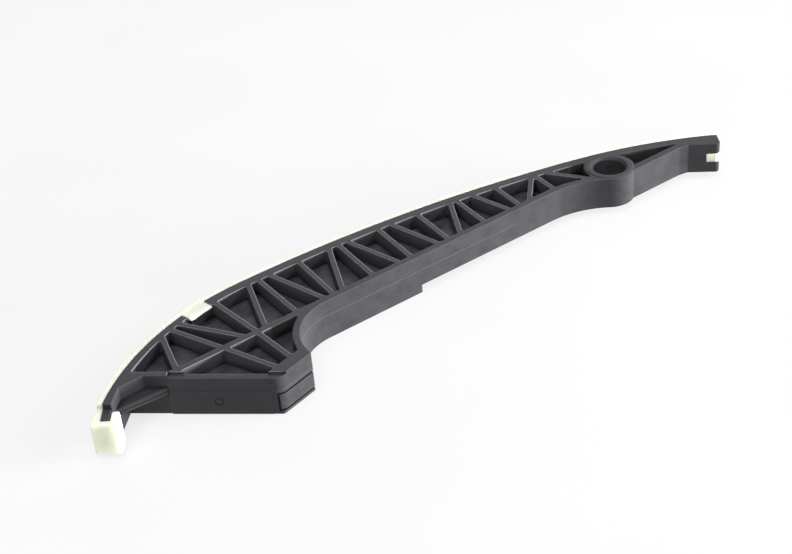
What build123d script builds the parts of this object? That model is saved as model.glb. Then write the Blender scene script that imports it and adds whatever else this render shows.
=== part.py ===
from build123d import *
from math import acos, asin, cos, degrees, radians, sin, sqrt, tan
import os

# Timing chain guide: a moulded carrier with a slide lining snapped on its convex side.
# The origin is on the axis of the pivot bore, at the parting plane of the moulding.
# X runs along the straight back wall, Y towards the chain, Z across the width of the chain.
# All lengths are in millimetres, and all angles in degrees.

# Widths across the chain
slim_width = 12.0
wide_width = 15.0
width_step_x = -89.5
web_thickness = 1.8

# Running side: three tangent arcs, each angle being how far the side has turned from the crown
crown_x = -137.0
crown_y = 30.8
tip_radius = 100.8
middle_radius = 492.1
pivot_end_radius = 173.5
tip_join_angle = -0.93
pivot_join_angle = 15.68
flange_tip_angle = -43.9
pivot_end_angle = 34.0

# Walls and ribs of the truss
flange_thickness = 3.7
pad_end_flange_thickness = 2.7
wall_thickness = 2.4
rib_thickness = 1.8
pocket_corner_radius = 0.7
back_wall_y = 0.65
bay_pitch = 16.6
first_upright_x = -24.1
upright_count = 7
upright_lean = 6.5
upright_middle_y = 15.0
# Head and foot of each bay's diagonal, as shares of the bay from its right upright
diagonal_shares = [
    (0.71, 0.21),
    (0.11, 0.78),
    (0.56, 0.37),
    (0.13, 0.74),
    (0.60, 0.35),
    (0.70, 0.40),
    (0.17, 0.84),
    (0.64, 0.31),
]
# Ribs of the wide end, each by the X of its head and of its foot
fan_ribs = [
    (-139.0, -140.2),
    (-143.3, -152.5),
    (-157.5, -156.3),
    (-172.4, -161.0),
    (-176.2, -169.7),
    (-181.5, -186.5),
]
lower_ribs = [(-156.3, -155.9), (-168.7, -162.4)]

# Pivot boss and its bore
bore_radius = 6.0
bore_chamfer = 0.9
boss_radius = 9.45
boss_fillet_radius = 34.0
collar_base_radius = 9.1
collar_top_radius = 8.6
collar_height = 0.4

# Heel: the pivot-side arm and its solid end block
heel_y = -8.2
heel_wall_thickness = 2.8
heel_pocket_corner_radius = 0.3
heel_bend_x = 29.0
heel_corner = (32.85, -9.0)
end_face_length = 7.65
end_corner_radius = 1.5

# Wide end with the tensioner pad
bend_x = -129.5
bend_radius = 20.5
side_face_angle = 13.8
side_face_length = 14.9
side_block_depth = 4.5
side_groove_height = 0.7
side_groove_depth = 0.6
side_groove_drops = (7.0, 13.4)
side_groove_turn = 45.0
toe_radius = 4.8
toe_foot_radius = 1.8
pad_angle = 42.7
pad_length = 36.3
pad_proud = 0.37
pad_top_drop = 0.9
pad_top_past_toe = 3.6
pad_wall_thickness = 2.1
pad_parting_z = 0.1
pad_parting_step = 0.12
pad_proud_start = 3.3
# Round moulding marks on the pad, each by its distance from the toe, its height and its radius
pad_marks = [(20.45, -3.95, 1.75), (3.4, 3.9, 0.9)]
pad_mark_depth = 0.25
pad_mark_core = 0.55

# Tip: the flange thickens from the pad's corner to its end, where the lining hooks round the lip
pad_corner_flange_thickness = 1.3
flange_tip_thickness = 2.9
fin_flange_y = 2.7
fin_edge_width = 1.3
fin_edge_thickness = 2.5
fin_groove_height = 0.3
fin_groove_depth = 0.25
gusset_y = 6.6
lip_bend = 9.6
lip_length = 6.0
lip_thickness = 2.6
lip_drop = 1.8

# Slide lining
lining_thickness = 1.9
lining_clearance = 0.1
hook_arm_thickness = 2.5
hook_base_thickness = 2.2
hook_arm_start = 1.8
hook_arm_clearance = 0.4
hook_corner_radius = 0.7
hook_clearance = 0.2
tab_start_angle = -15.2
tab_end_angle = -9.4
tab_thickness = 0.9
tab_overhang = 0.8
tab_clearance = 0.15
tongue_width = 3.4
tongue_thickness = 1.7
tongue_length = 5.2
tongue_clearance = 0.25

# Cuts run this far past the faces that they open, and fins this far into the walls that carry them
overshoot = 1.0
# Ribs run this far into the walls that carry them
rib_root = 2.0
# The side block runs this far past both ends of its face, into the walls beside it
side_block_overrun = 10.0
# The plan lies within this distance of the origin
plan_reach = 300.0
# Radii closer than this count as equal
radius_tolerance = 0.001

top_z = slim_width / 2
slim_bottom_z = -slim_width / 2
wide_bottom_z = top_z - wide_width
web_top_z = web_thickness / 2
web_bottom_z = -web_thickness / 2
toe_foot_top_z = top_z - side_groove_drops[1] - side_groove_height


def outward(angle):
    """Outward direction of the running side where it has turned by this angle."""
    return Vector(sin(radians(angle)), cos(radians(angle)))


def turned(angle):
    """Direction at this angle from +X."""
    return Vector(cos(radians(angle)), sin(radians(angle)))


middle_centre = Vector(crown_x, crown_y - middle_radius)
tip_centre = middle_centre + (middle_radius - tip_radius) * outward(tip_join_angle)
pivot_end_centre = middle_centre + (middle_radius - pivot_end_radius) * outward(pivot_join_angle)


def run_arc(angle):
    """Centre and radius of the running side's arc at this angle."""
    if angle < tip_join_angle:
        return tip_centre, tip_radius
    if angle > pivot_join_angle:
        return pivot_end_centre, pivot_end_radius
    return middle_centre, middle_radius


def run_point(angle, inset=0.0):
    """Point of the running side at this angle, moved into the carrier by inset."""
    centre, radius = run_arc(angle)
    return centre + (radius - inset) * outward(angle)


def run_edges(start, end, inset=0.0):
    """Tangent arcs of the running side between two angles, moved in by inset."""
    joins = [angle for angle in (tip_join_angle, pivot_join_angle) if start < angle < end]
    stops = [start] + joins + [end]
    edges = []
    for low, high in zip(stops, stops[1:]):
        middle = run_point((low + high) / 2, inset)
        edges.append(Edge.make_three_point_arc(run_point(low, inset), middle, run_point(high, inset)))
    return edges


def run_angle_at_x(x, inset=0.0):
    """Angle at which the running side, moved in by inset, passes this X."""
    tip_angle = degrees(asin((x - tip_centre.X) / (tip_radius - inset))) if x < crown_x else 0.0
    if tip_angle < tip_join_angle:
        return tip_angle
    middle_angle = degrees(asin((x - middle_centre.X) / (middle_radius - inset)))
    if middle_angle < pivot_join_angle:
        return middle_angle
    return degrees(asin((x - pivot_end_centre.X) / (pivot_end_radius - inset)))


def line_meets_tip_arc(start, direction, inset):
    """Point where a line running outward from start meets the tip arc, moved in by inset."""
    from_centre = start - tip_centre
    along = from_centre.dot(direction)
    across = from_centre.dot(from_centre) - (tip_radius - inset) ** 2
    return start + direction * (sqrt(along**2 - across) - along)


def lines(*points):
    """Straight edges from each point to the next."""
    stops = [Vector(*point) if isinstance(point, tuple) else point for point in points]
    return [Edge.make_line(first, second) for first, second in zip(stops, stops[1:])]


def arc(centre, radius, start, end):
    """Circular edge about centre between two angles, both measured from +X."""
    stops = [centre + radius * turned(angle) for angle in (start, (start + end) / 2, end)]
    return Edge.make_three_point_arc(*stops)


def region(*edges):
    """Face inside a closed chain of edges."""
    return Face(Wire(list(edges)))


def polygon(*points):
    """Face inside straight edges through the points."""
    return region(*lines(*points, points[0]))


def band(start, end, outer, inner):
    """Face along the running side between two angles and two insets."""
    return region(
        *run_edges(start, end, outer),
        *run_edges(start, end, inner),
        *lines(run_point(start, outer), run_point(start, inner)),
        *lines(run_point(end, outer), run_point(end, inner)),
    )


def strip(start, end, left, right, past=0.0):
    """Face along a straight line, by these widths to its left and right, and past both its ends."""
    along = (end - start).normalized()
    side = Vector(-along.Y, along.X)
    first = start - past * along
    last = end + past * along
    return polygon(first + left * side, last + left * side, last - right * side, first - right * side)


def disc(radius):
    """Round face about the origin."""
    return Face(Wire.make_circle(radius))


def prism(face, low, high):
    """Solid over a plan face between two heights."""
    return extrude(Pos(0, 0, low) * face, high - low, dir=(0, 0, 1))


def nearest_vertex(face, point):
    """Vertex of a face that lies closest to a point."""
    return min(face.vertices(), key=lambda vertex: (Vector(vertex.X, vertex.Y) - point).length)


# Named points of the plan
fillet_distance = boss_fillet_radius + boss_radius
fillet_rise = boss_fillet_radius - back_wall_y
fillet_centre = Vector(-sqrt(fillet_distance**2 - fillet_rise**2), -fillet_rise)
fillet_angle = degrees(asin(fillet_rise / fillet_distance))
boss_heel_x = sqrt(boss_radius**2 - heel_y**2)
boss_heel_angle = -degrees(acos(boss_heel_x / boss_radius))
end_top = run_point(pivot_end_angle)
end_low = end_top - end_face_length * outward(pivot_end_angle)
bend_centre = Vector(bend_x, back_wall_y - bend_radius)
bend_end = bend_centre - Vector(bend_radius, 0)
side_direction = -turned(side_face_angle)
side_inward = Vector(side_direction.Y, -side_direction.X)
toe = bend_end + side_face_length * side_direction
toe_start = toe - toe_radius * tan(radians((side_face_angle + pad_angle) / 2)) * side_direction
toe_centre = toe_start + toe_radius * side_inward
pad_direction = -turned(-pad_angle)
pad_inward = Vector(sin(radians(pad_angle)), cos(radians(pad_angle)))
pad_end = toe + pad_length * pad_direction
wall_face = toe + pad_proud * pad_inward
wall_inner = wall_face + pad_wall_thickness * pad_inward
pad_corner = line_meets_tip_arc(wall_face, pad_direction, pad_corner_flange_thickness)
flange_tip = run_point(flange_tip_angle)
flange_tip_inner = run_point(flange_tip_angle, flange_tip_thickness)
lip_direction = -turned(lip_bend - flange_tip_angle)
lip_inward = Vector(-lip_direction.Y, lip_direction.X)


def lip_point(along, inward):
    """Point this far along the lip from the flange's tip, and this far in from the lip's outer face."""
    return flange_tip + along * lip_direction + inward * lip_inward


def carrier_plan(toe_corner_radius):
    """Outline of the carrier without the lip, its toe rounded by this radius."""
    plan = region(
        *run_edges(flange_tip_angle, pivot_end_angle),
        *lines(end_top, end_low, heel_corner, (heel_bend_x, heel_y), (boss_heel_x, heel_y)),
        arc(Vector(0, 0), boss_radius, boss_heel_angle, fillet_angle - 180),
        arc(fillet_centre, boss_fillet_radius, fillet_angle, 90),
        *lines((fillet_centre.X, back_wall_y), (bend_x, back_wall_y)),
        arc(bend_centre, bend_radius, 90, 180),
        *lines(bend_end, toe, pad_end, pad_end + pad_proud * pad_inward, pad_corner),
        *lines(pad_corner, flange_tip_inner, flange_tip),
    )
    plan = plan.fillet_2d(toe_corner_radius, [nearest_vertex(plan, toe)])
    return plan.fillet_2d(end_corner_radius, [nearest_vertex(plan, end_low)])


def back_inner_y(x):
    """Inner face of the back wall at this X, where it bends down to the boss too."""
    if x < fillet_centre.X:
        return back_wall_y + wall_thickness
    return fillet_centre.Y + sqrt((boss_fillet_radius + wall_thickness) ** 2 - (x - fillet_centre.X) ** 2)


def flange_rib_ends(head_x, foot_x):
    """Middle of a rib's head on the flange, and of its foot on the back wall."""
    head = run_point(run_angle_at_x(head_x, flange_thickness), flange_thickness)
    return head, Vector(foot_x, back_inner_y(foot_x))


def upright_ends(x):
    """Middle of the head and of the foot of a leaning upright that crosses its middle height at this X."""
    slope = Vector(sin(radians(upright_lean)), cos(radians(upright_lean)))
    middle = Vector(x, upright_middle_y)
    foot = middle - slope * ((upright_middle_y - back_wall_y - wall_thickness) / slope.Y)
    head = middle + slope * ((crown_y - upright_middle_y) / slope.Y)
    return head, foot


def rib_ends():
    """Middles of the head and of the foot of every rib between flange, back wall and pad wall."""
    ends = [upright_ends(first_upright_x - bay_pitch * index) for index in range(upright_count)]
    for index, (head_share, foot_share) in enumerate(diagonal_shares):
        right_x = first_upright_x + bay_pitch * (1 - index)
        ends.append(flange_rib_ends(right_x - bay_pitch * head_share, right_x - bay_pitch * foot_share))
    ends += [flange_rib_ends(head_x, foot_x) for head_x, foot_x in fan_ribs]
    block_inner = bend_end + side_block_depth * side_inward
    for head_x, foot_x in lower_ribs:
        foot_y = block_inner.Y + (foot_x - block_inner.X) * side_direction.Y / side_direction.X
        ends.append((Vector(head_x, back_wall_y), Vector(foot_x, foot_y)))
    return ends


def truss_bays(margin):
    """Faces between the ribs of the truss that keep this margin from all walls and ribs."""
    inner_fillet = boss_fillet_radius + wall_thickness + margin
    inner_bend = bend_radius + wall_thickness + margin
    back_y = back_wall_y + wall_thickness
    inset = flange_thickness + margin
    pad_end_inset = pad_end_flange_thickness + margin
    wall_side = wall_inner + margin * pad_inward
    wall_top = line_meets_tip_arc(wall_side, pad_direction, pad_end_inset)
    wall_top_angle = run_angle_at_x(wall_top.X, pad_end_inset)
    boss_side = run_angle_at_x(0, inset)
    field = Sketch() + region(
        *run_edges(wall_top_angle, tab_start_angle, pad_end_inset),
        *lines(run_point(tab_start_angle, pad_end_inset), run_point(tab_start_angle, inset)),
        *run_edges(tab_start_angle, boss_side, inset),
        *lines(run_point(boss_side, inset), (0, 0), fillet_centre + inner_fillet * turned(fillet_angle)),
        arc(fillet_centre, inner_fillet, fillet_angle, 90),
        *lines((fillet_centre.X, back_y + margin), (bend_x, back_y + margin)),
        arc(bend_centre, inner_bend, 90, 180),
        *lines(bend_centre - Vector(inner_bend, 0), wall_side, wall_top),
    )
    chord = strip(
        Vector(bend_x, back_y), Vector(wall_top.X, back_y), wall_thickness + margin, margin, margin
    )
    side_block = strip(bend_end, toe, 0, side_block_depth + margin, side_block_overrun)
    half = rib_thickness / 2 + margin
    ribs = [strip(head, foot, half, half, rib_root) for head, foot in rib_ends()]
    field -= [disc(boss_radius + margin), chord, side_block, *ribs]
    return field.faces()


def heel_bay(margin):
    """Face between the boss, the flange and the heel wall that keeps this margin from all three."""
    inset = flange_thickness + margin
    heel_top_y = heel_y + heel_wall_thickness + margin
    heel_tip = degrees(acos((heel_top_y - pivot_end_centre.Y) / (pivot_end_radius - inset)))
    boss_side = run_angle_at_x(0, inset)
    field = Sketch() + region(
        *run_edges(boss_side, heel_tip, inset),
        *lines(run_point(heel_tip, inset), (0, heel_top_y), run_point(boss_side, inset)),
    )
    return (field - disc(boss_radius + margin)).faces()


def truss_pockets():
    """Faces of the pockets, each as wide as a round cutter of its corner radius reaches."""
    cutters = [(truss_bays, pocket_corner_radius), (heel_bay, heel_pocket_corner_radius)]
    return [offset(core, radius, kind=Kind.ARC) for bays, radius in cutters for core in bays(radius)]


def both_sides(face, thickness):
    """Solids over a plan face that reach this far in from the top and from the wide part's underside."""
    return [prism(face, top_z - thickness, top_z), prism(face, wide_bottom_z, wide_bottom_z + thickness)]


def wide_part(face):
    """The stretch of a plan face that has the full width."""
    right = width_step_x
    left = low = -plan_reach
    high = plan_reach
    return face & polygon((right, low), (right, high), (left, high), (left, low))


def stepped(face):
    """Solid over a plan face, slim beside the pivot and wide beyond the width step."""
    slim = prism(face, slim_bottom_z, top_z)
    return slim + prism(wide_part(face), wide_bottom_z, slim_bottom_z)


def tip_fin():
    """Web between pad wall and tip flange, with a grooved bead on its free edge and a gusset above it."""
    wall_end = pad_end + pad_proud * pad_inward
    flange_run = (pad_corner - flange_tip_inner).normalized()
    flange_end = flange_tip_inner + flange_run * ((fin_flange_y - flange_tip_inner.Y) / flange_run.Y)
    root = overshoot * (wall_end - flange_end).normalized()
    web = polygon(wall_end + root, pad_corner, flange_end - root)
    bead = strip(flange_end, wall_end, fin_edge_width, 0, overshoot)
    groove = strip(flange_end, wall_end, fin_groove_depth, overshoot)
    wall_gusset = wall_face + pad_direction * ((gusset_y - wall_face.Y) / pad_direction.Y)
    flange_gusset = flange_tip_inner + flange_run * ((gusset_y - flange_tip_inner.Y) / flange_run.Y)
    gusset = polygon(wall_gusset, pad_corner, flange_gusset)
    fin = prism(web, web_bottom_z, web_top_z) + prism(gusset, web_bottom_z, top_z)
    fin += prism(bead, -fin_edge_thickness / 2, fin_edge_thickness / 2)
    return fin - prism(groove, -fin_groove_height / 2, fin_groove_height / 2)


def pad_mark(along, height, radius):
    """Ring cut in the pad's face, round a core that stays level with the face."""
    place = toe + along * pad_direction + Vector(0, 0, height)
    ring = Cylinder(radius, 2 * pad_mark_depth) - Cylinder(pad_mark_core * radius, 2 * pad_mark_depth)
    return Plane(place, z_dir=pad_inward) * ring


def pad_cuts():
    """Cuts that lower the pad's top edge, and leave its lower half proud of the rest."""
    top_start = toe - pad_top_past_toe * pad_direction
    top_edge = strip(top_start, pad_end, overshoot, pad_proud + pad_wall_thickness)
    upper_half = strip(toe, pad_end, overshoot, pad_parting_step)
    beside_toe = strip(toe, toe + pad_proud_start * pad_direction, overshoot, pad_parting_step)
    return [
        prism(top_edge, top_z - pad_top_drop, top_z + overshoot),
        prism(upper_half, pad_parting_z, top_z),
        prism(beside_toe, wide_bottom_z, pad_parting_z),
        *[pad_mark(*mark) for mark in pad_marks],
    ]


def toe_ring(start, end):
    """Face of a groove round the toe, between two angles from +X."""
    outer = toe_radius + overshoot
    inner = toe_radius - side_groove_depth
    return region(
        arc(toe_centre, outer, start, end),
        arc(toe_centre, inner, start, end),
        *lines(toe_centre + outer * turned(start), toe_centre + inner * turned(start)),
        *lines(toe_centre + outer * turned(end), toe_centre + inner * turned(end)),
    )


def side_grooves():
    """Cuts along the short side face and round the toe, and one down the end of these."""
    side_start = bend_end - overshoot * side_direction
    straight = strip(side_start, toe_start, overshoot, side_groove_depth)
    turn_start = side_face_angle - 90
    turn_end = turn_start - side_groove_turn
    bent = toe_ring(turn_start, turn_end)
    down = toe_ring(turn_end, turn_end + degrees(side_groove_height / toe_radius))
    upper, lower = [top_z - drop for drop in side_groove_drops]
    cuts = [prism(down, lower - side_groove_height, upper)]
    for high in (upper, lower):
        cuts += [prism(face, high - side_groove_height, high) for face in (straight, bent)]
    return cuts


def tongue_plan(clearance):
    """Faces of the tongue that wraps the pivot end, or of its groove where there is a clearance."""
    depth = tongue_thickness + clearance
    proud = overshoot if clearance else lining_clearance
    heel_direction = (Vector(*heel_corner) - end_low).normalized()
    end_leg = strip(end_top, end_low, proud, depth)
    slot_leg = strip(end_low, end_low + heel_direction * (tongue_length + clearance), proud, depth)
    return end_leg + slot_leg


def carrier():
    body = stepped(carrier_plan(toe_radius))
    foot = wide_part(carrier_plan(toe_foot_radius))
    body += prism(foot, wide_bottom_z, toe_foot_top_z)
    lip = strip(flange_tip, lip_point(lip_length, 0), lip_thickness, 0)
    body += prism(lip, wide_bottom_z + lip_drop, top_z - lip_drop)
    pockets = truss_pockets()
    body -= [prism(pocket, web_top_z, top_z + overshoot) for pocket in pockets]
    body -= [prism(pocket, wide_bottom_z - overshoot, web_bottom_z) for pocket in pockets]
    body += tip_fin()
    body -= pad_cuts()
    body -= side_grooves()
    collar = Cone(collar_base_radius, collar_top_radius, collar_height)
    body += Pos(0, 0, top_z + collar_height / 2) * collar
    body += Pos(0, 0, slim_bottom_z - collar_height / 2) * Rot(180, 0, 0) * collar
    body -= prism(disc(bore_radius), wide_bottom_z, top_z + overshoot)
    rounds = body.edges().filter_by(GeomType.CIRCLE)
    mouths = [edge for edge in rounds if abs(edge.radius - bore_radius) < radius_tolerance]
    body = chamfer(mouths, bore_chamfer)
    notch = band(tab_start_angle, tab_end_angle, -overshoot, flange_thickness + overshoot)
    body -= both_sides(notch, tab_thickness + tab_clearance)
    groove_width = tongue_width / 2 + tongue_clearance
    body -= prism(tongue_plan(tongue_clearance), -groove_width, groove_width)
    return body


def hook_plan():
    """Face of the lining's hook round the lip: outer leg, base and inner arm."""
    outer = -lining_clearance - lining_thickness
    base_start = lip_length + hook_clearance
    base_end = base_start + hook_base_thickness
    arm_outer = lip_thickness + hook_arm_clearance
    arm_inner = arm_outer + hook_arm_thickness
    base_corner = line_meets_tip_arc(lip_point(base_end, 0), -lip_inward, outer)
    tips = [
        lip_point(hook_arm_start, arm_outer),
        lip_point(hook_arm_start, arm_inner),
        lip_point(base_end, arm_inner),
        base_corner,
    ]
    face = region(
        *run_edges(run_angle_at_x(base_corner.X, outer), flange_tip_angle, outer),
        *lines(run_point(flange_tip_angle, outer), run_point(flange_tip_angle, -lining_clearance)),
        *lines(run_point(flange_tip_angle, -lining_clearance), lip_point(base_start, -lining_clearance)),
        *lines(lip_point(base_start, -lining_clearance), lip_point(base_start, arm_outer), *tips),
    )
    return face.fillet_2d(hook_corner_radius, [nearest_vertex(face, tip) for tip in tips])


def slide_lining():
    outer = -lining_clearance - lining_thickness
    body = stepped(band(flange_tip_angle, pivot_end_angle, outer, -lining_clearance))
    body += prism(hook_plan(), wide_bottom_z + lip_drop, top_z - lip_drop)
    side_gap = degrees(tab_clearance / tip_radius)
    tab = band(tab_start_angle + side_gap, tab_end_angle - side_gap, outer, flange_thickness + tab_overhang)
    body += both_sides(tab, tab_thickness)
    wrap = strip(run_point(pivot_end_angle, outer), end_top, lining_clearance, tongue_thickness)
    body += prism(wrap + tongue_plan(0), -tongue_width / 2, tongue_width / 2)
    return body


os.makedirs("parts", exist_ok=True)
export_step(carrier(), "parts/carrier.step")
export_step(slide_lining(), "parts/slide_lining.step")
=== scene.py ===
import bpy
from math import radians
from mathutils import Matrix, Vector


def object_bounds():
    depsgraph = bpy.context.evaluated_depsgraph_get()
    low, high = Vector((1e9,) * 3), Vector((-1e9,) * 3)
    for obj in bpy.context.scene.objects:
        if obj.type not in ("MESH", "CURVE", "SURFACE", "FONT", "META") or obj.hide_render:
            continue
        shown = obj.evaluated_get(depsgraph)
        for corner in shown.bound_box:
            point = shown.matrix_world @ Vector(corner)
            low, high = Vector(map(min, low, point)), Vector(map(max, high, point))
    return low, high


# Timing chain guide: a black glass-filled nylon carrier, with a natural nylon slide lining on its convex
# side. Everything is in metres, in the frame of the solids: Z runs along the pivot bore.
MM = 0.001

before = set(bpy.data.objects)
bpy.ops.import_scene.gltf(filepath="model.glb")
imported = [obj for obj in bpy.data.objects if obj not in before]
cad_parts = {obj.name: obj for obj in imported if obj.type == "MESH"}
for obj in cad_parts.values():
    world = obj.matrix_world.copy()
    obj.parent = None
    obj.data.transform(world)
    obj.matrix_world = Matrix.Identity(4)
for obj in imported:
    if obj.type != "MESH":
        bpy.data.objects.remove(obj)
bpy.context.view_layer.update()
cad_box = [list(corner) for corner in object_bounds()]
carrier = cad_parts["carrier"]
slide_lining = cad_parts["slide_lining"]

# Lines in plan that run within the walls round the truss, or clear of the boss. Each has its direction
# towards the pockets, and its distance from the bore's axis that way, in millimetres.
back_wall = ((0, 1), 1.8)
boss = ((-1, 0), 9.5)
side_wall = ((-0.239, 0.971), 17.5)
bend_wall_foot = ((-1, 0), 151.5)
pad_wall = ((0.678, 0.735), -127.7)

# The parting line of the mould is at this height, in millimetres, and shows past this line
parting_height = 0.1
parting_start = ((-1, 0), 45)

# Colour sockets of a mix node, whose names its plain sockets have too
UNDER = 6
OVER = 7
MIXED_COLOUR = 2


def linear(hex_colour):
    """Linear colour of an sRGB hex value."""
    channels = [int(hex_colour[place:place + 2], 16) / 255 for place in (1, 3, 5)]
    return [c / 12.92 if c <= 0.04045 else ((c + 0.055) / 1.055) ** 2.4 for c in channels] + [1.0]


def add(tree, kind, sockets=None, gives=0, **settings):
    """Adds a node with its settings to a material, and gives back one of its outputs. Each of its sockets,
    by name or number, takes another node's output, a hex colour or a plain value."""
    node = tree.nodes.new(kind)
    for name, value in settings.items():
        setattr(node, name, value)
    for name, value in (sockets or {}).items():
        if isinstance(value, bpy.types.NodeSocket):
            tree.links.new(value, node.inputs[name])
        else:
            node.inputs[name].default_value = linear(value) if isinstance(value, str) else value
    return None if gives is None else node.outputs[gives]


def new_material(name):
    """Material with an empty node tree."""
    material = bpy.data.materials.new(name)
    material.use_nodes = True
    material.node_tree.nodes.clear()
    return material, material.node_tree


def per_mm(size):
    """Noise scale that gives a pattern of this size in millimetres, with coordinates in metres."""
    return 1 / (size * MM)


def shaded(tree, colour, *shades):
    """Ground colour with shades laid over it in turn, each a mask and a hex colour."""
    for mask, shade in shades:
        sockets = {"Factor": mask, UNDER: colour, OVER: shade}
        colour = add(tree, "ShaderNodeMix", sockets, gives=MIXED_COLOUR, data_type="RGBA")
    return colour


def overlap(tree, mask, *others):
    """Mask of what lies in all of these masks."""
    for other in others:
        mask = add(tree, "ShaderNodeMath", {0: mask, 1: other}, operation="MULTIPLY")
    return mask


def past_line(tree, place, line):
    """Mask of the plan past a line, with a soft start 0.3 mm wide."""
    (x, y), start = line
    along = add(tree, "ShaderNodeVectorMath", {0: place, 1: (x, y, 0.0)},
                gives="Value", operation="DOT_PRODUCT")
    return add(tree, "ShaderNodeMapRange", {
        "Value": along, "From Min": start * MM, "From Max": (start + 0.3) * MM})


def truss_field(tree, place):
    """Mask of the plan that holds the pockets: the long truss, and the wide end below it."""
    long_truss = overlap(tree, past_line(tree, place, back_wall), past_line(tree, place, boss))
    wide_end = overlap(tree, past_line(tree, place, side_wall), past_line(tree, place, bend_wall_foot))
    either = add(tree, "ShaderNodeMath", {0: long_truss, 1: wide_end}, operation="MAXIMUM")
    return overlap(tree, either, past_line(tree, place, pad_wall))


def moulded_glass_filled_nylon():
    """Black PA66 with glass fibre, injection moulded. That gives a satin charcoal skin with a fine grain,
    cloudy where fibres lie near the surface, with faint flow lines along the moulding."""
    material, tree = new_material("moulded_glass_filled_nylon")
    place = add(tree, "ShaderNodeTexCoord", gives="Object")
    surface = add(tree, "ShaderNodeNewGeometry", gives="True Normal")
    height = add(tree, "ShaderNodeSeparateXYZ", {"Vector": place}, gives="Z")
    off_middle = add(tree, "ShaderNodeMath", {0: height}, operation="ABSOLUTE")
    upward = add(tree, "ShaderNodeSeparateXYZ", {"Vector": surface}, gives="Z")
    level = add(tree, "ShaderNodeMath", {0: upward}, operation="ABSOLUTE")
    upright = add(tree, "ShaderNodeMapRange", {"Value": level, "From Min": 0.3, "From Max": 0.1})

    # Clouds of fibre 7 mm across. The fibres are about 0.01 mm thick, too fine to show, so their flow
    # lines are drawn 0.7 mm wide and eight times as long.
    clouds = add(tree, "ShaderNodeTexNoise", {
        "Vector": place, "Scale": per_mm(7), "Detail": 4.0, "Roughness": 0.6})
    drawn_out = add(tree, "ShaderNodeMapping", {"Vector": place, "Scale": (0.12, 1.0, 1.0)})
    flow_lines = add(tree, "ShaderNodeTexNoise", {"Vector": drawn_out, "Scale": per_mm(0.7), "Detail": 3.0})
    fibres = add(tree, "ShaderNodeMix", {"Factor": 0.4, "A": clouds, "B": flow_lines})
    fibre_rich = add(tree, "ShaderNodeMapRange", {"Value": fibres, "From Min": 0.35, "From Max": 0.65})

    # The pockets' walls are painted a little paler than the outside, as painted light on walls that lie in
    # shade, and their floors have paler patches, partly the moulding's smudges and partly painted light
    in_truss = truss_field(tree, place)
    painted_light_on_pocket_walls = overlap(tree, in_truss, upright)
    on_web = add(tree, "ShaderNodeMapRange", {
        "Value": off_middle, "From Min": 1.4 * MM, "From Max": 1.0 * MM})
    # The floor patches are partly smudges of the moulding and partly painted light on the shaded pocket
    # floors
    smudge_and_light_patches = add(tree, "ShaderNodeMapRange", {"Value": fibres, "From Min": 0.4, "From Max": 0.6})
    web_smudges_and_painted_light = overlap(tree, in_truss, level, on_web, smudge_and_light_patches)

    # A faint pale hairline along the parting line on the upright walls is a painted highlight of the mould
    # seam
    over_parting = add(tree, "ShaderNodeMath", {0: height, 1: parting_height * MM}, operation="SUBTRACT")
    off_parting = add(tree, "ShaderNodeMath", {0: over_parting}, operation="ABSOLUTE")
    hairline = add(tree, "ShaderNodeMapRange", {
        "Value": off_parting, "From Min": 0.25 * MM, "From Max": 0.05 * MM})
    parting_line_highlight = overlap(tree, hairline, past_line(tree, place, parting_start), upright)

    # Every edge off the web is shaded as if rounded by 0.6 mm, and is painted paler there as a highlight,
    # the ribs' edges most
    rounded = add(tree, "ShaderNodeBevel", {"Radius": 0.6 * MM}, samples=8)
    turned = add(tree, "ShaderNodeVectorMath", {0: rounded, 1: surface},
                 gives="Value", operation="DOT_PRODUCT")
    on_edge = add(tree, "ShaderNodeMapRange", {"Value": turned, "From Min": 0.99, "From Max": 0.85})
    off_web = add(tree, "ShaderNodeMapRange", {
        "Value": off_middle, "From Min": 1.3 * MM, "From Max": 1.8 * MM})
    edges = overlap(tree, on_edge, off_web)
    painted_rib_edge_highlight = overlap(tree, edges, in_truss)

    # Grooves and inner corners, where less than about a millimetre is open, are painted nearly black as
    # shade
    openness = add(tree, "ShaderNodeAmbientOcclusion", {"Distance": 1.2 * MM}, gives="AO",
                   samples=8, only_local=True)
    painted_crevice_shade = add(tree, "ShaderNodeMapRange", {"Value": openness, "From Min": 0.9, "From Max": 0.5})

    # Over the fibre tone lie painted light and shade: paler pocket walls and floor patches, highlights on
    # edges and the parting line, and nearly black crevices
    colour = shaded(
        tree, "#222224",
        (fibre_rich, "#2b2b2e"),
        (painted_light_on_pocket_walls, "#39393c"),
        (web_smudges_and_painted_light, "#3c3c3f"),
        (parting_line_highlight, "#333336"),
        (edges, "#38383b"),
        (painted_rib_edge_highlight, "#636369"),
        (painted_crevice_shade, "#0f0f11"),
    )

    # The grain that the spark-eroded mould leaves is under 0.1 mm, too fine to show: it is drawn 0.35 mm
    grain = add(tree, "ShaderNodeTexNoise", {"Vector": place, "Scale": per_mm(0.35), "Detail": 2.0})
    sheen = add(tree, "ShaderNodeMapRange", {
        "Value": fibres, "From Min": 0.3, "From Max": 0.7, "To Min": 0.46, "To Max": 0.56})
    cloudy_skin = add(tree, "ShaderNodeBump", {
        "Height": fibres, "Normal": rounded, "Strength": 0.25, "Distance": 0.05 * MM})
    grained_skin = add(tree, "ShaderNodeBump", {
        "Height": grain, "Normal": cloudy_skin, "Strength": 0.3, "Distance": 0.02 * MM})
    skin = add(tree, "ShaderNodeBsdfPrincipled", {
        "Base Color": colour, "Roughness": sheen, "Normal": grained_skin,
        "IOR": 1.53, "Specular IOR Level": 0.2})
    add(tree, "ShaderNodeOutputMaterial", {"Surface": skin}, gives=None)
    return material


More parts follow.
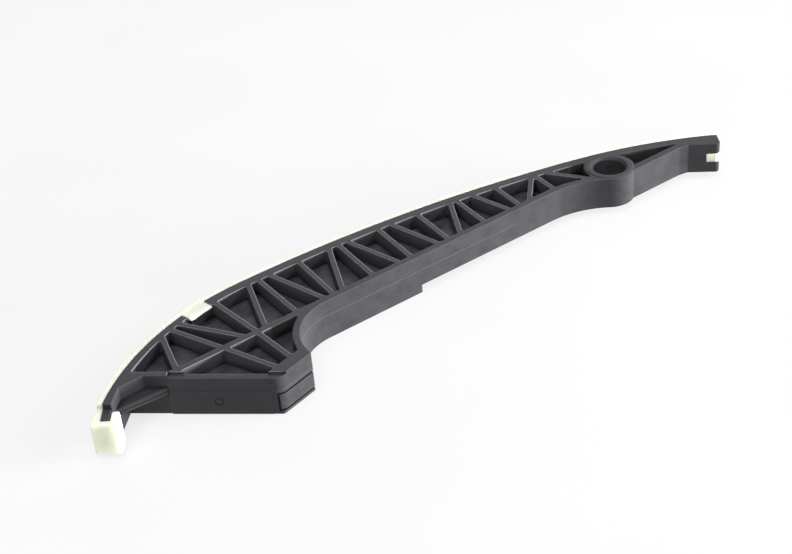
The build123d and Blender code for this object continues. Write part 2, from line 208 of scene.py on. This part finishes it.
def moulded_natural_nylon():
    """Unfilled natural nylon, injection moulded. That gives a matt ivory, a little cloudy and translucent,
    so that its shadows are soft, with slow flow ripples 1.6 mm apart."""
    material, tree = new_material("moulded_natural_nylon")
    place = add(tree, "ShaderNodeTexCoord", gives="Object")
    clouds = add(tree, "ShaderNodeTexNoise", {"Vector": place, "Scale": per_mm(9), "Detail": 3.0})
    milky = add(tree, "ShaderNodeMapRange", {"Value": clouds, "From Min": 0.35, "From Max": 0.65})
    ripples = add(tree, "ShaderNodeTexNoise", {"Vector": place, "Scale": per_mm(1.6), "Detail": 2.0})
    rippled_skin = add(tree, "ShaderNodeBump", {"Height": ripples, "Strength": 0.2, "Distance": 0.03 * MM})
    skin = add(tree, "ShaderNodeBsdfPrincipled", {
        "Base Color": shaded(tree, "#b7bbaa", (milky, "#c0c4b4")), "Normal": rippled_skin,
        "Roughness": 0.6, "IOR": 1.53,
        "Subsurface Weight": 0.9, "Subsurface Radius": (1.0, 1.0, 0.85), "Subsurface Scale": 7.0 * MM})
    add(tree, "ShaderNodeOutputMaterial", {"Surface": skin}, gives=None)
    return material


def lit_white_acrylic():
    """Top sheet of a light table: white acrylic, lit evenly from below, so shadows on it stay faint."""
    material, tree = new_material("lit_white_acrylic")
    place = add(tree, "ShaderNodeTexCoord", gives="Object")
    clouds = add(tree, "ShaderNodeTexNoise", {"Vector": place, "Scale": per_mm(120), "Detail": 2.0})
    bright = add(tree, "ShaderNodeMapRange", {"Value": clouds, "From Min": 0.3, "From Max": 0.7})
    skin = add(tree, "ShaderNodeBsdfPrincipled", {
        "Base Color": "#585858", "Roughness": 0.9, "Specular IOR Level": 0.0,
        "Emission Color": shaded(tree, "#fbfbfb", (bright, "#ffffff")), "Emission Strength": 0.775})
    add(tree, "ShaderNodeOutputMaterial", {"Surface": skin}, gives=None)
    return material


def set_material(node, material):
    """Gives a moulding its one material."""
    node.data.materials.clear()
    node.data.materials.append(material)


def round_edges(node, edge_radius):
    """Gives a moulding the small radius that every moulded edge has."""
    weld = node.modifiers.new("weld", "WELD")
    weld.merge_threshold = 0.001 * MM
    flat = node.modifiers.new("whole_faces", "DECIMATE")
    flat.decimate_type = "DISSOLVE"
    flat.angle_limit = radians(0.5)
    edges = node.modifiers.new("moulded_edges", "BEVEL")
    edges.width = edge_radius
    edges.segments = 2
    edges.limit_method = "ANGLE"
    edges.angle_limit = radians(35)
    edges.use_clamp_overlap = False
    edges.harden_normals = True


set_material(carrier, moulded_glass_filled_nylon())
set_material(slide_lining, moulded_natural_nylon())
round_edges(slide_lining, 0.25 * MM)


def floor_sheet():
    """Large level sheet under the guide, at the height of the wide end's underside."""
    half = 3.0
    low = cad_box[0][2]
    mesh = bpy.data.meshes.new("floor")
    corners = [(-half, -half, low), (half, -half, low), (half, half, low), (-half, half, low)]
    mesh.from_pydata(corners, [], [(0, 1, 2, 3)])
    mesh.materials.append(lit_white_acrylic())
    floor = bpy.data.objects.new("floor", mesh)
    bpy.context.scene.collection.objects.link(floor)
    return floor


floor_sheet()


def softbox(name, place, width, height, power):
    """Rectangular studio light of this size in metres and power in watts, facing the guide's middle."""
    middle = Vector((-0.09, 0.0, 0.0))
    light = bpy.data.lights.new(name, "AREA")
    light.shape = "RECTANGLE"
    light.size = width
    light.size_y = height
    light.energy = power
    lamp = bpy.data.objects.new(name, light)
    lamp.location = place
    lamp.rotation_euler = (middle - Vector(place)).to_track_quat("-Z", "Y").to_euler()
    bpy.context.scene.collection.objects.link(lamp)
    return lamp


# Most light comes from above and from low on the right, and a little from the left and behind
softbox("key", (0.42, -0.59, 0.54), 0.4, 0.3, 6.0)
low_right = softbox("low_right", (0.82, -0.65, 0.075), 0.55, 0.12, 104.0)
softbox("overhead", (-0.1, 0.0, 1.25), 1.1, 0.9, 11.0)
softbox("left_high", (-0.75, -0.15, 0.95), 0.4, 0.4, 5.5)
softbox("behind", (0.53, 0.9, 0.71), 1.0, 0.7, 5.2)
left_fill = softbox("left_fill", (-0.8, -0.6, 0.25), 0.4, 0.3, 4.2)
# The two low lights only shade the guide, and leave no glare on its satin skin from any side
low_right.visible_glossy = False
left_fill.visible_glossy = False

world = bpy.data.worlds.new("studio")
world.use_nodes = True
world.node_tree.nodes["Background"].inputs["Color"].default_value = (1.0, 1.0, 1.0, 1.0)
world.node_tree.nodes["Background"].inputs["Strength"].default_value = 0.12
bpy.context.scene.world = world
bpy.context.scene.view_settings.view_transform = "Standard"

# The camera stands where the photograph's stood: its place, turn about the vertical, tilt and roll
camera_place = (-0.35511, -0.36519, 0.29399)
camera_turn = radians(-34.85)
camera_tilt = radians(56.8)
camera_roll = radians(-4.9)
camera_data = bpy.data.cameras.new("camera")
camera_data.lens = 70.45
camera_data.clip_start = 0.01
camera = bpy.data.objects.new("camera", camera_data)
camera.matrix_world = (
    Matrix.Translation(camera_place)
    @ Matrix.Rotation(camera_turn, 4, "Z")
    @ Matrix.Rotation(camera_tilt, 4, "X")
    @ Matrix.Rotation(camera_roll, 4, "Z")
)
bpy.context.scene.collection.objects.link(camera)
bpy.context.scene.camera = camera

bpy.context.view_layer.update()
